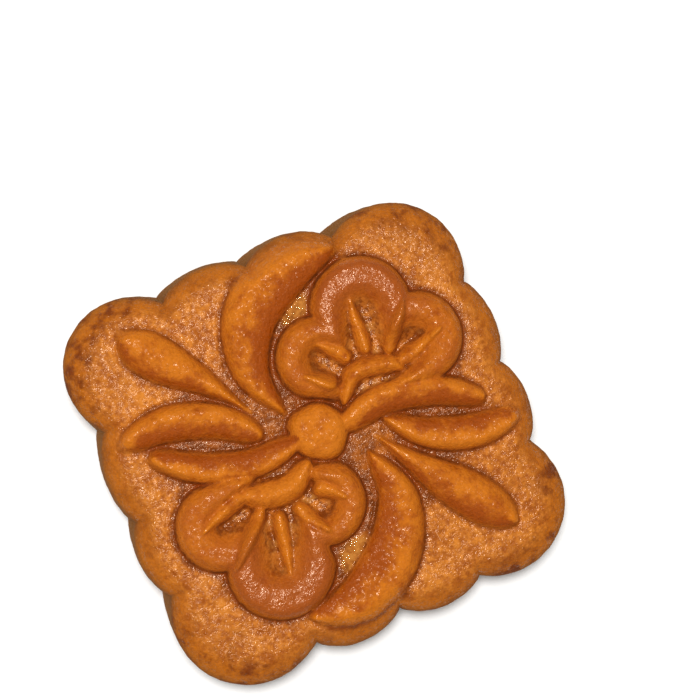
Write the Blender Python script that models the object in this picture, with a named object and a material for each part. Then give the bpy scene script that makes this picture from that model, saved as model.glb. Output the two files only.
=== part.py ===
"""A baked square mooncake, modelled as one solid: a scalloped block with a pressed flower relief.

Sizes are millimetres in the tables below and metres in Blender (see MM).  The origin is the centre
of the flat base, +Z is up, and the pressed face is the top.  Two blossoms, each with three petals,
a calyx and five stamens, turn about a round knob between two crescents, two buds and four leaves.
The cake is hand pressed, so the second half of the pattern is close to the first but not its copy.
"""

import math

import bmesh
import bpy
from mathutils import Vector

MM = 0.001

# --- block ---------------------------------------------------------------------------------------
GROUND = 25.0           # height of the pressed face, between the raised forms
CROWN = 0.5             # how much higher the face is at its middle
SHOULDER = 4.2          # radius of the rounding from the face into the wall
SHOULDER_ANGLES = (0.0, 22.0, 45.0, 68.0, 90.0)
TOP_LOBES = 0.65        # depth of the scallops on the face, as a share of that at the rim
# The wall from the base up: depth of the scallops as a share of that at the rim, how far it
# swells out past the rim, and height.
WALL = [
    (0.60, -1.9, 0.0),
    (0.60, -0.2, 0.8),
    (0.60, 0.7, 2.8),
    (0.70, 0.9, 9.5),
    (0.85, 0.6, 15.2),
]
FACE_RINGS = (0.62, 0.3)  # rings on the face, as shares of the way out from its middle
SIDE_STEPS = 8          # edges along a side lobe
CORNER_STEPS = 16       # edges along a corner lobe

# Where the scallops meet, counter-clockwise, with the bulge of the lobe that starts there.
SIDE = "side"
CORNER = "corner"
RIM = [
    (32.1, -14.5, 2.3, SIDE),
    (32.6, -0.5, 2.1, SIDE),
    (32.3, 13.9, 9.2, CORNER),
    (14.9, 29.3, 2.8, SIDE),
    (0.1, 30.4, 2.7, SIDE),
    (-14.6, 30.3, 11.4, CORNER),
    (-31.7, 14.8, 2.3, SIDE),
    (-32.7, -0.7, 2.2, SIDE),
    (-32.3, -14.0, 10.7, CORNER),
    (-13.6, -30.8, 2.8, SIDE),
    (1.2, -31.1, 2.6, SIDE),
    (15.4, -31.7, 10.0, CORNER),
]
LOBE_FULLNESS = {SIDE: 0.8, CORNER: 1.1}  # below 1 the lobes are blunter than a parabola
NOTCH_SHARE = 0.6       # what the scallops take off the plain square that the shoulder follows
EDGE_CORNER = 14.0      # corner radius of that square

# --- raised forms --------------------------------------------------------------------------------
SINK = 1.4              # how far a raised form reaches down into the block
EDGE_DROP = 0.05        # how far its edge starts below the surface it stands on
# name: spine points, half width, share of the length where it is widest, fullness of its ends,
# height, and the crest's place across it (-1 right edge, 1 left edge, seen along the spine)
RIDGES = {
    "upper_crescent": ([(-3.8, 6.0), (-6.0, 14.7), (-2.6, 22.9), (5.3, 27.3), (14.3, 27.9)],
                       4.6, 0.60, 0.62, 2.6, 0.45),
    "lower_crescent": ([(6.2, -4.8), (7.7, -13.7), (3.6, -21.7), (-4.1, -26.3), (-13.2, -26.0)],
                       4.6, 0.56, 0.66, 2.6, 0.45),
    "upper_bud": ([(-8.3, 7.8), (-13.0, 14.9), (-18.3, 21.4), (-23.6, 27.9)],
                  3.6, 0.75, 0.60, 2.5, -0.15),
    "lower_bud": ([(8.0, -2.5), (13.1, -10.5), (18.8, -18.1), (24.3, -25.6)],
                  3.7, 0.70, 0.65, 2.5, 0.15),
    "right_upper_leaf": ([(3.7, 0.5), (11.9, 1.9), (20.1, -0.1), (27.3, -4.6)],
                         2.7, 0.45, 0.30, 2.6, 0.45),
    "right_lower_leaf": ([(10.7, -0.9), (16.5, -6.1), (23.8, -8.9), (31.5, -9.2)],
                         2.85, 0.58, 0.45, 2.4, -0.45),
    "left_upper_leaf": ([(-8.6, 4.2), (-14.6, 9.5), (-22.1, 12.1), (-30.0, 11.9)],
                        3.0, 0.50, 0.40, 2.4, -0.45),
    "left_lower_leaf": ([(-3.3, 1.3), (-11.7, 0.9), (-19.8, 3.5), (-26.6, 8.5)],
                        2.6, 0.50, 0.32, 2.6, 0.45),
    "upper_calyx": ([(5.3, 3.6), (9.1, 7.6), (14.6, 7.0), (16.9, 5.2)],
                    1.8, 0.50, 0.50, 2.7, 0.0),
    "lower_calyx": ([(-3.1, -2.2), (-7.7, -5.1), (-13.2, -4.3), (-15.4, -2.5)],
                    2.45, 0.50, 0.45, 2.8, 0.0),
}
CRESCENT_STEPS = 12     # stations along a crescent's spine
LEAF_STEPS = 10         # and along that of a bud, a leaf or a calyx
END_GAP = 0.6           # steps from a form's tip to its first station
HEADING_SPAN = 0.02     # share of a spine over which its heading is taken
CREST_FALL = 0.40       # share of the height lost between the crest and the far edge
TAPER = 0.55            # how fast a form loses height where it narrows
ACROSS = (-1.0, -0.88, -0.5, 0.0, 0.5, 0.88, 1.0)

# Each blossom: centre and radius of its eye, then centre and radius of each petal.
BLOSSOMS = {
    "upper": ((11.0, 6.5, 5.0), [(4.5, 12.4, 6.8), (14.3, 17.0, 8.4), (20.8, 8.9, 7.6)]),
    "lower": ((-9.5, -4.5, 5.0), [(-20.5, -6.5, 7.4), (-14.1, -16.2, 8.9), (-4.0, -9.6, 7.2)]),
}
PETAL_HEIGHT = 3.0
PETAL_EDGE = 2.2        # width of the rounded edge of a petal
BOWL_START = 0.54       # share of the way from the eye to the edge where the bowl is lowest
BOWL_END = 0.80         # and where it has risen to the petals' full height
BOWL_FLOOR = 0.2        # height of the sunken middle
BACK_START = -0.75      # how squarely a spoke faces the middle petal (1 straight at it, -1 away)
BACK_END = -0.15        # where the raised edge begins, and where it has its full height
BLOSSOM_STEPS = 54      # points round a blossom
SEARCH_REACH = 40.0     # the outline is looked for this far out from the eye
SEARCH_STEP = 0.01      # and found to this
BLOSSOM_RINGS = (0.03, 0.09, 0.19, 0.34, 0.5, 0.7)

# Stamens run from the calyx to their tips.
STAMENS = {
    "upper": [((5.8, 7.4), (1.0, 10.7)), ((9.4, 9.9), (5.2, 14.5)), ((12.2, 9.8), (13.1, 19.4)),
              ((15.4, 8.5), (21.2, 15.9)), ((16.4, 6.4), (25.0, 9.1))],
    "lower": [((-14.8, -3.4), (-23.8, -6.0)), ((-13.3, -6.3), (-21.5, -13.9)),
              ((-11.2, -8.0), (-13.4, -18.3)), ((-8.2, -8.0), (-4.6, -14.2)),
              ((-4.3, -6.7), (-0.1, -10.1))],
}
STAMEN_HALF_WIDTH = 1.3
STAMEN_WIDEST = 0.25    # share of the length where it is widest
STAMEN_FULLNESS = 0.7   # fullness of its ends
STAMEN_RISE = 2.2       # height above the bowl it lies in
STAMEN_FADE = 0.4       # share of that height lost towards the tip
STAMEN_STEPS = 5

KNOB = (-0.1, 1.5)
KNOB_RADIUS = 4.7
KNOB_BULGE = 0.7        # extra radius towards its fuller side
KNOB_BULGE_ANGLE = math.radians(-50.0)
# How often the knob's edge waves in and out, by how much, and from what angle in radians.
KNOB_WAVES = ((3, 0.15, 0.6), (5, 0.14, 2.0))
KNOB_HEIGHT = 3.0
KNOB_STEPS = 20
KNOB_RINGS = ((1.0, 0.0), (0.96, 0.45), (0.82, 0.75), (0.5, 0.94))

CRUST_COLOUR = (0.50, 0.155, 0.022, 1.0)
CRUST_ROUGHNESS = 0.42
SHARP_ANGLE = math.radians(50.0)


def clamp(value, low=0.0, high=1.0):
    return max(low, min(high, value))


def smooth_step(low, high, value):
    t = clamp((value - low) / (high - low))
    return t * t * (3.0 - 2.0 * t)


# --- outline -------------------------------------------------------------------------------------
def rim_point(index, t, lobes, offset):
    """Point at share t of one lobe; offset moves it out along the plain rounded square's normal."""
    x, y, bulge, kind = RIM[index]
    start = Vector((x, y))
    chord = Vector(RIM[(index + 1) % len(RIM)][:2]) - start
    half = chord.length / 2.0
    along = chord.normalized()
    out = Vector((along.y, -along.x))
    middle = start + chord / 2.0
    if kind == SIDE:
        base = start + chord * t
        normal = out
        swell = bulge
    else:
        radius = half / math.sin(math.pi / 4.0)
        turn = (t - 0.5) * math.pi / 2.0
        depth = radius * math.cos(math.pi / 4.0)
        base = middle + along * radius * math.sin(turn) + out * (radius * math.cos(turn) - depth)
        normal = out * math.cos(turn) + along * math.sin(turn)
        swell = bulge - (radius - depth)
    across = 2.0 * t - 1.0
    arch = (1.0 - across * across) ** LOBE_FULLNESS[kind]
    return base + normal * (lobes * swell * arch + offset)


def rim_loop(lobes, offset):
    """The scalloped outline, with its lobes made shallower by a share and moved out by an offset."""
    points = []
    for index, (_, _, _, kind) in enumerate(RIM):
        steps = SIDE_STEPS if kind == SIDE else CORNER_STEPS
        for step in range(steps):
            points.append(rim_point(index, step / steps, lobes, offset))
    return points


def box_corners(points):
    low = Vector((min(point.x for point in points), min(point.y for point in points)))
    high = Vector((max(point.x for point in points), max(point.y for point in points)))
    return low, high


LOW, HIGH = box_corners(rim_loop(1.0, 0.0))
CENTRE = (LOW + HIGH) / 2.0     # the pattern's own zero is a little off this
EDGE = (HIGH - LOW) / 2.0 - Vector((NOTCH_SHARE, NOTCH_SHARE))


def inside_rim(x, y):
    """Distance from a point on the face to the rim, taken as a plain rounded square."""
    dx = abs(x - CENTRE.x) - (EDGE.x - EDGE_CORNER)
    dy = abs(y - CENTRE.y) - (EDGE.y - EDGE_CORNER)
    beyond = math.hypot(max(dx, 0.0), max(dy, 0.0)) + min(max(dx, dy), 0.0)
    return EDGE_CORNER - beyond


def face_height(x, y):
    """Height of the pressed face, without the relief: crowned, and rounded off at the rim."""
    spread = ((x - CENTRE.x) / EDGE.x) ** 2 + ((y - CENTRE.y) / EDGE.y) ** 2
    height = GROUND + CROWN * max(0.0, 1.0 - spread)
    short = clamp(SHOULDER - inside_rim(x, y), 0.0, SHOULDER)
    return height - SHOULDER + math.sqrt(SHOULDER * SHOULDER - short * short)


# --- petals --------------------------------------------------------------------------------------
def inside_petals(eye, petals, x, y):
    """Depth of a point inside the outline that three petals, each growing out of the eye, make."""
    best = -math.inf
    point = Vector((x, y))
    centre = Vector(eye[:2])
    for petal_x, petal_y, petal_radius in petals:
        stem = Vector((petal_x, petal_y)) - centre
        t = clamp((point - centre).dot(stem) / stem.length_squared)
        radius = eye[2] + (petal_radius - eye[2]) * t
        best = max(best, radius - (point - centre - stem * t).length)
    return best


def blossom_height(name, x, y):
    """Height of a blossom: a bowl round its eye, low at the back, inside a rounded raised edge."""
    eye, petals = BLOSSOMS[name]
    depth = inside_petals(eye, petals, x, y)
    spoke = Vector((x, y)) - Vector(eye[:2])
    axis = (Vector(petals[1][:2]) - Vector(eye[:2])).normalized()
    edge = math.sqrt(1.0 - (1.0 - clamp(depth / PETAL_EDGE)) ** 2)
    share = spoke.length / max(spoke.length + depth, 0.001)
    facing = spoke.dot(axis) / max(spoke.length, 0.001)
    rim = smooth_step(BOWL_START, BOWL_END, share) * smooth_step(BACK_START, BACK_END, facing)
    return face_height(x, y) + edge * (BOWL_FLOOR + (PETAL_HEIGHT - BOWL_FLOOR) * rim)


# --- mesh helpers --------------------------------------------------------------------------------
def place(x, y, z):
    """Vertex position in metres, measured from the middle of the cake."""
    return Vector((x - CENTRE.x, y - CENTRE.y, z)) * MM


def solid_from_loops(name, loops, start=None, end=None):
    """Closed solid through equal loops; an end is one point, or a flat face where none is given."""
    mesh_data = bmesh.new()
    rows = [[mesh_data.verts.new(place(*point)) for point in loop] for loop in loops]
    count = len(rows[0])
    for lower, upper in zip(rows, rows[1:]):
        for i in range(count):
            j = (i + 1) % count
            mesh_data.faces.new((lower[i], lower[j], upper[j], upper[i]))
    for row, tip in ((rows[0], start), (rows[-1], end)):
        if tip is None:
            mesh_data.faces.new(row)
            continue
        apex = mesh_data.verts.new(place(*tip))
        for i in range(count):
            mesh_data.faces.new((row[i], row[(i + 1) % count], apex))
    bmesh.ops.recalc_face_normals(mesh_data, faces=mesh_data.faces)
    mesh = bpy.data.meshes.new(name)
    mesh_data.to_mesh(mesh)
    mesh_data.free()
    item = bpy.data.objects.new(name, mesh)
    bpy.context.scene.collection.objects.link(item)
    return item


def spline(points, t):
    """Catmull-Rom curve through the points, at share t of its length."""
    knots = [Vector(point) for point in points]
    knots = [2 * knots[0] - knots[1]] + knots + [2 * knots[-1] - knots[-2]]
    spans = len(knots) - 3
    index = min(int(t * spans), spans - 1)
    f = t * spans - index
    a, b, c, d = knots[index:index + 4]
    return 0.5 * (2 * b + (c - a) * f + (2 * a - 5 * b + 4 * c - d) * f ** 2
                  + (3 * b - a - 3 * c + d) * f ** 3)


def ridge_width(t, half_width, widest, fullness):
    """Half width of a raised form at share t of its spine: nothing at its tips."""
    u = t ** (math.log(0.5) / math.log(widest))
    return half_width * clamp(4.0 * u * (1.0 - u)) ** fullness


def ridge(name, points, half_width, widest, fullness, bed, rise, fade, crest, steps):
    """Raised form that follows a spine: steep edges, and a crest from which both sides fall away."""
    loops = []
    for step in range(steps):
        t = 0.5 - 0.5 * math.cos(math.pi * (step + END_GAP) / (steps - 1 + 2.0 * END_GAP))
        centre = spline(points, t)
        ahead = spline(points, min(t + HEADING_SPAN, 1.0))
        ahead -= spline(points, max(t - HEADING_SPAN, 0.0))
        left = Vector((-ahead.y, ahead.x)).normalized()
        width = ridge_width(t, half_width, widest, fullness)
        height = rise * (width / half_width) ** TAPER * (1.0 - fade * t)
        loop = []
        for v in ACROSS:
            x, y = centre + left * (v * width)
            edge = math.sqrt(1.0 - v ** 4)
            fall = 1.0 - CREST_FALL * abs(v - crest) / (1.0 + abs(crest))
            loop.append((x, y, bed(x, y) + height * edge * fall - EDGE_DROP))
        for v in (ACROSS[-1], ACROSS[0]):
            x, y = centre + left * (v * width)
            loop.append((x, y, bed(x, y) - SINK))
        loops.append(loop)
    tips = []
    for t in (0.0, 1.0):
        x, y = spline(points, t)
        tips.append((x, y, bed(x, y) - SINK / 2.0))
    return solid_from_loops(name, loops, *tips)


# --- the pieces of the relief --------------------------------------------------------------------
def build_block():
    """The scalloped block: base, wall, rounded shoulder and crowned face."""
    rings = list(WALL)
    for angle in SHOULDER_ANGLES:
        turn = math.radians(angle)
        inset = SHOULDER * (1.0 - math.cos(turn))
        lobes = 1.0 - (1.0 - TOP_LOBES) * inset / SHOULDER
        rings.append((lobes, -inset, GROUND - SHOULDER * (1.0 - math.sin(turn))))
    loops = [[(p.x, p.y, height) for p in rim_loop(lobes, out)] for lobes, out, height in rings]
    rim = loops[-1]
    for scale in FACE_RINGS:
        loops.append([(x * scale, y * scale, face_height(x * scale, y * scale)) for x, y, _ in rim])
    return solid_from_loops("mooncake", loops, None, (0.0, 0.0, GROUND + CROWN))


def blossom_outline(eye, petals):
    """Directions round the eye, each with the distance to the petals' outline."""
    outline = []
    for step in range(BLOSSOM_STEPS):
        turn = 2.0 * math.pi * step / BLOSSOM_STEPS
        low, high = 0.0, SEARCH_REACH
        while high - low > SEARCH_STEP:
            middle = (low + high) / 2.0
            x = eye[0] + middle * math.cos(turn)
            y = eye[1] + middle * math.sin(turn)
            if inside_petals(eye, petals, x, y) > 0.0:
                low = middle
            else:
                high = middle
        outline.append((turn, low))
    return outline


def build_blossom(side):
    """One blossom, from its foot inside the block to its eye."""
    eye, petals = BLOSSOMS[side]
    outline = blossom_outline(eye, petals)
    loops = []
    for inset in (None, 0.0) + BLOSSOM_RINGS:
        loop = []
        for turn, radius in outline:
            reach = radius * (1.0 - (inset or 0.0))
            x = eye[0] + reach * math.cos(turn)
            y = eye[1] + reach * math.sin(turn)
            if inset is None:
                height = face_height(x, y) - SINK
            elif inset == 0.0:
                height = face_height(x, y)
            else:
                height = blossom_height(side, x, y)
            loop.append((x, y, height))
        loops.append(loop)
    middle = blossom_height(side, eye[0], eye[1])
    return solid_from_loops(side + "_blossom", loops, None, (eye[0], eye[1], middle))


def build_stamens(side):
    stamens = []
    for number, (root, tip) in enumerate(STAMENS[side], 1):
        stamens.append(ridge(
            "{}_stamen_{}".format(side, number), [root, tip],
            STAMEN_HALF_WIDTH, STAMEN_WIDEST, STAMEN_FULLNESS,
            lambda x, y: blossom_height(side, x, y), STAMEN_RISE, STAMEN_FADE, 0.0, STAMEN_STEPS))
    return stamens


def build_ridge(name):
    points, half_width, widest, fullness, height, crest = RIDGES[name]
    steps = CRESCENT_STEPS if "crescent" in name else LEAF_STEPS
    return ridge(name, points, half_width, widest, fullness, face_height, height, 0.0, crest, steps)


def build_knob():
    """The round knob in the middle, fuller on one side."""
    loops = []
    for share, rise in ((1.0, None),) + KNOB_RINGS:
        loop = []
        for step in range(KNOB_STEPS):
            turn = 2.0 * math.pi * step / KNOB_STEPS
            fuller = max(0.0, math.cos(turn - KNOB_BULGE_ANGLE)) ** 3
            waves = sum(size * math.sin(count * turn + start) for count, size, start in KNOB_WAVES)
            reach = share * (KNOB_RADIUS + KNOB_BULGE * fuller + waves)
            x = KNOB[0] + reach * math.cos(turn)
            y = KNOB[1] + reach * math.sin(turn)
            up = -SINK if rise is None else KNOB_HEIGHT * rise
            loop.append((x, y, face_height(x, y) + up))
        loops.append(loop)
    top = (KNOB[0], KNOB[1], face_height(*KNOB) + KNOB_HEIGHT)
    return solid_from_loops("knob", loops, None, top)


def crust_material():
    material = bpy.data.materials.new("baked_crust")
    material.use_nodes = True
    surface = material.node_tree.nodes["Principled BSDF"]
    surface.inputs["Base Color"].default_value = CRUST_COLOUR
    surface.inputs["Roughness"].default_value = CRUST_ROUGHNESS
    surface.inputs["Metallic"].default_value = 0.0
    return material


def merge_relief(block, pieces):
    """Joins the raised forms to the block and hides the originals."""
    for piece in pieces:
        union = block.modifiers.new(piece.name, "BOOLEAN")
        union.operation = "UNION"
        union.solver = "EXACT"
        union.object = piece
        piece.hide_render = True
        piece.display_type = "WIRE"


def main():
    for item in list(bpy.data.objects):
        bpy.data.objects.remove(item, do_unlink=True)
    block = build_block()
    pieces = []
    for side in BLOSSOMS:
        pieces.append(build_blossom(side))
        pieces.extend(build_stamens(side))
    for name in RIDGES:
        pieces.append(build_ridge(name))
    pieces.append(build_knob())
    merge_relief(block, pieces)
    block.data.materials.append(crust_material())
    block.data.shade_smooth()
    block.data.set_sharp_from_angle(angle=SHARP_ANGLE)


main()
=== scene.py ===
"""A baked square mooncake with a pressed flower relief, its stage and its camera.

The file is laid out as an add-on and run as a script.  One operator makes the crust: a scalloped
blank is built in mesh code, and a Geometry Nodes tree presses the pattern into it from a plan of
spines, two blossoms and a knob.  Another operator makes the floor, the lights and the camera.
Tables are in millimetres, and everything in Blender is in metres (see MM).
"""

import math

import bpy
from mathutils import Matrix, Vector


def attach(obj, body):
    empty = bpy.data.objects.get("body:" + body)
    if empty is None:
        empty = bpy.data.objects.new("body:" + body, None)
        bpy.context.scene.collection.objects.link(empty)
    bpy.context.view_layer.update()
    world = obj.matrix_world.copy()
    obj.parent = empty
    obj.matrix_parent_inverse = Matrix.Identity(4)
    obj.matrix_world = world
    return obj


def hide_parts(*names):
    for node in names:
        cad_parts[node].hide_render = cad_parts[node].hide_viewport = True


bl_info = {
    "name": "Pressed Mooncake",
    "version": (1, 0, 0),
    "blender": (4, 5, 0),
    "location": "3D View > Sidebar > Mooncake",
    "description": "Builds a baked square mooncake with a pressed flower relief, and its stage",
    "category": "Add Mesh",
}

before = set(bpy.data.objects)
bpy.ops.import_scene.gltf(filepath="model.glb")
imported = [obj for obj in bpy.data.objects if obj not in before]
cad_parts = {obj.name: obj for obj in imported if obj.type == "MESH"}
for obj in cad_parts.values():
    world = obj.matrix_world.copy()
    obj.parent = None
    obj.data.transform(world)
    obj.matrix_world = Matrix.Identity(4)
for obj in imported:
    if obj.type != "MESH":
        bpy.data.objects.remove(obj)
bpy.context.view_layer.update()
CAKE_NODE = "mooncake"
CAKE_BODY = "root"
CRUST_SLOT = "baked_crust"
MM = 0.001

# --- the cake's tables, in millimetres from the middle of the pattern -----------------------------
CENTRE = Vector((-0.0252, -0.0451))     # the middle of the cake on the pattern's own zero
HALF_SIZE = Vector((34.1, 33.4))
SIDE = "side"
CORNER = "corner"
# Where the scallops meet, counter-clockwise, with the bulge of the lobe that starts there.
RIM = [
    (32.1, -14.5, 2.3, SIDE),
    (32.6, -0.5, 2.1, SIDE),
    (32.3, 13.9, 9.2, CORNER),
    (14.9, 29.3, 2.8, SIDE),
    (0.1, 30.4, 2.7, SIDE),
    (-14.6, 30.3, 11.4, CORNER),
    (-31.7, 14.8, 2.3, SIDE),
    (-32.7, -0.7, 2.2, SIDE),
    (-32.3, -14.0, 10.7, CORNER),
    (-13.6, -30.8, 2.8, SIDE),
    (1.2, -31.1, 2.6, SIDE),
    (15.4, -31.7, 10.0, CORNER),
]
LOBE_FULLNESS = {SIDE: 0.8, CORNER: 1.1}
TOP_LOBES = 0.65        # depth of the scallops where the shoulder meets the face
FACE_CELLS = 120        # cells from the middle of the face to its edge
# Shares of a side, from one corner's middle to the next, at which its lobes meet.
LOBE_SHARES = (0.0, 62 / 240, 0.5, 178 / 240, 1.0)
# The wall, from the shoulder to the base: depth of the scallops, swell and height.
WALL = [
    (1.00, 0.0, 20.8),
    (0.95, 0.18, 18.6),
    (0.85, 0.58, 14.6),
    (0.70, 0.9, 9.5),
    (0.64, 0.92, 5.6),
    (0.60, 0.72, 2.8),
    (0.60, 0.25, 1.2),
    (0.60, -0.6, 0.3),
    (0.60, -1.8, 0.0),
]
SHOULDER_RINGS = 14
WALL_RINGS = 19
BASE_RINGS = (0.97, 0.6)

# Raised forms: spine points, half width, share of the length where it is widest, fullness of its
# ends, height, and the crest's place across it (-1 right edge, 1 left edge, along the spine).
RIDGES = {
    "upper_crescent": ([(-3.8, 6.0), (-6.0, 14.7), (-2.6, 22.9), (5.3, 27.3), (14.3, 27.9)],
                       4.6, 0.60, 0.62, 2.6, 0.45),
    "lower_crescent": ([(6.2, -4.8), (7.7, -13.7), (3.6, -21.7), (-4.1, -26.3), (-13.2, -26.0)],
                       4.6, 0.56, 0.66, 2.6, 0.45),
    "upper_bud": ([(-8.3, 7.8), (-13.0, 14.9), (-18.3, 21.4), (-23.6, 27.9)],
                  3.6, 0.75, 0.60, 2.5, -0.15),
    "lower_bud": ([(8.0, -2.5), (13.1, -10.5), (18.8, -18.1), (24.3, -25.6)],
                  3.7, 0.70, 0.65, 2.5, 0.15),
    "right_upper_leaf": ([(3.7, 0.5), (11.9, 1.9), (20.1, -0.1), (27.3, -4.6)],
                         2.7, 0.45, 0.30, 2.6, 0.45),
    "right_lower_leaf": ([(10.7, -0.9), (16.5, -6.1), (23.8, -8.9), (31.5, -9.2)],
                         2.85, 0.58, 0.45, 2.4, -0.45),
    "left_upper_leaf": ([(-8.6, 4.2), (-14.6, 9.5), (-22.1, 12.1), (-30.0, 11.9)],
                        3.0, 0.50, 0.40, 2.4, -0.45),
    "left_lower_leaf": ([(-3.3, 1.3), (-11.7, 0.9), (-19.8, 3.5), (-26.6, 8.5)],
                        2.6, 0.50, 0.32, 2.6, 0.45),
    "upper_calyx": ([(5.3, 3.6), (9.1, 7.6), (14.6, 7.0), (16.9, 5.2)],
                    1.8, 0.50, 0.50, 2.7, 0.0),
    "lower_calyx": ([(-3.1, -2.2), (-7.7, -5.1), (-13.2, -4.3), (-15.4, -2.5)],
                    2.45, 0.50, 0.45, 2.8, 0.0),
}
# Stamens, from the calyx to their tips.
STAMENS = [
    ((5.8, 7.4), (1.0, 10.7)), ((9.4, 9.9), (5.2, 14.5)), ((12.2, 9.8), (13.1, 19.4)),
    ((15.4, 8.5), (21.2, 15.9)), ((16.4, 6.4), (25.0, 9.1)),
    ((-14.8, -3.4), (-23.8, -6.0)), ((-13.3, -6.3), (-21.5, -13.9)),
    ((-11.2, -8.0), (-13.4, -18.3)), ((-8.2, -8.0), (-4.6, -14.2)), ((-4.3, -6.7), (-0.1, -10.1)),
]
STAMEN_SHAPE = (1.3, 0.25, 0.7)          # half width, where it is widest, fullness of its ends
PLAN_STEP = 0.25                        # spacing of the plan's points along a spine
# Each blossom: centre and radius of its eye, then centre and radius of each petal.
BLOSSOMS = [
    ((11.0, 6.5, 5.0), [(4.5, 12.4, 6.8), (14.3, 17.0, 8.4), (20.8, 8.9, 7.6)]),
    ((-9.5, -4.5, 5.0), [(-20.5, -6.5, 7.4), (-14.1, -16.2, 8.9), (-4.0, -9.6, 7.2)]),
]
KNOB = (-0.1, 1.5)
KNOB_BULGE_ANGLE = math.radians(-50.0)
# How often the knob's edge waves in and out, by how much, and from what angle in radians.
KNOB_WAVES = [(3, 0.15, 0.6), (5, 0.14, 2.0)]
# Thin ground between a crescent and its blossom, where the egg wash gathered: place and radius.
POOLS = [(3.6, 21.8, 4.0), (-1.6, -20.4, 4.2)]

# --- camera and lights ----------------------------------------------------------------------------
AIM = Vector((10.093, 11.371, 25.0)) * MM
CAMERA_DISTANCE = 0.40615
CAMERA_ELEVATION = math.radians(82.984)
CAMERA_AZIMUTH = math.radians(147.591)  # counter-clockwise from +X
CAMERA_ROLL = math.radians(-98.977)
CAMERA_LENS = 128.57


# --- node helpers ---------------------------------------------------------------------------------
def wire(tree, kind, inputs=None, **settings):
    """Adds a node, sets its settings, and sets or links its inputs."""
    node = tree.nodes.new(kind)
    for key, value in settings.items():
        setattr(node, key, value)
    for key, value in (inputs or {}).items():
        feed(tree, node.inputs[key], value)
    return node


def feed(tree, target, value):
    if isinstance(value, Term):
        value = value.socket
    if isinstance(value, bpy.types.NodeSocket):
        tree.links.new(value, target)
    else:
        target.default_value = value


class Term:
    """A number in a node tree: arithmetic on it adds the Math nodes that work it out."""

    def __init__(self, tree, socket):
        self.tree = tree
        self.socket = socket

    def maths(self, operation, *values, **settings):
        inputs = dict(enumerate(values))
        node = wire(self.tree, "ShaderNodeMath", inputs, operation=operation, **settings)
        return Term(self.tree, node.outputs[0])

    def __add__(self, other):
        return self.maths("ADD", self, other)

    def __radd__(self, other):
        return self.maths("ADD", other, self)

    def __sub__(self, other):
        return self.maths("SUBTRACT", self, other)

    def __rsub__(self, other):
        return self.maths("SUBTRACT", other, self)

    def __mul__(self, other):
        return self.maths("MULTIPLY", self, other)

    def __rmul__(self, other):
        return self.maths("MULTIPLY", other, self)

    def __truediv__(self, other):
        return self.maths("DIVIDE", self, other)

    def __rtruediv__(self, other):
        return self.maths("DIVIDE", other, self)

    def __pow__(self, other):
        return self.maths("POWER", self, other)

    def __neg__(self):
        return self.maths("MULTIPLY", self, -1.0)

    def clamped(self):
        return self.maths("ADD", self, 0.0, use_clamp=True)

    def root(self):
        return self.maths("SQRT", self)

    def sine(self):
        return self.maths("SINE", self)

    def size(self):
        return self.maths("ABSOLUTE", self)

    def most(self, other):
        return self.maths("MAXIMUM", self, other)

    def least(self, other):
        return self.maths("MINIMUM", self, other)

    def eased(self, low, high, start=0.0, end=1.0):
        """Runs smoothly from start to end while this number runs from low to high."""
        inputs = dict(enumerate((self, low, high, start, end)))
        node = wire(self.tree, "ShaderNodeMapRange", inputs, interpolation_type="SMOOTHSTEP")
        return Term(self.tree, node.outputs["Result"])


class Arrow(Term):
    """A vector in a node tree."""

    def vector(self, operation, other=None, output="Vector"):
        inputs = {0: self}
        if other is not None:
            inputs["Scale" if operation == "SCALE" else 1] = other
        node = wire(self.tree, "ShaderNodeVectorMath", inputs, operation=operation)
        kind = Arrow if output == "Vector" else Term
        return kind(self.tree, node.outputs[output])

    def __add__(self, other):
        return self.vector("ADD", other)

    def __sub__(self, other):
        return self.vector("SUBTRACT", other)

    def __mul__(self, other):
        return self.vector("SCALE", other)

    def times(self, other):
        return self.vector("MULTIPLY", other)

    def dot(self, other):
        return self.vector("DOT_PRODUCT", other, "Value")

    def length(self):
        return self.vector("LENGTH", None, "Value")

    def unit(self):
        return self.vector("NORMALIZE")

    def parts(self):
        node = wire(self.tree, "ShaderNodeSeparateXYZ", {0: self})
        return [Term(self.tree, output) for output in node.outputs]


def arrow_of(tree, x, y, z):
    node = wire(tree, "ShaderNodeCombineXYZ", {0: x, 1: y, 2: z})
    return Arrow(tree, node.outputs[0])


def noise(tree, place, scale, detail=2.0, roughness=0.5, seed=0.0):
    """Noise from 0 to 1 over place, with features about 1 / scale metres wide."""
    inputs = {"Vector": place, "W": seed, "Scale": scale, "Detail": detail, "Roughness": roughness}
    node = wire(tree, "ShaderNodeTexNoise", inputs, noise_dimensions="4D")
    return Term(tree, node.outputs[0])


def blended(tree, share, first, second, mode="MIX"):
    """Colour between two colours, or another blend of them."""
    node = wire(tree, "ShaderNodeMix", {0: share, 6: first, 7: second},
                data_type="RGBA", blend_type=mode)
    return node.outputs[2]


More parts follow.
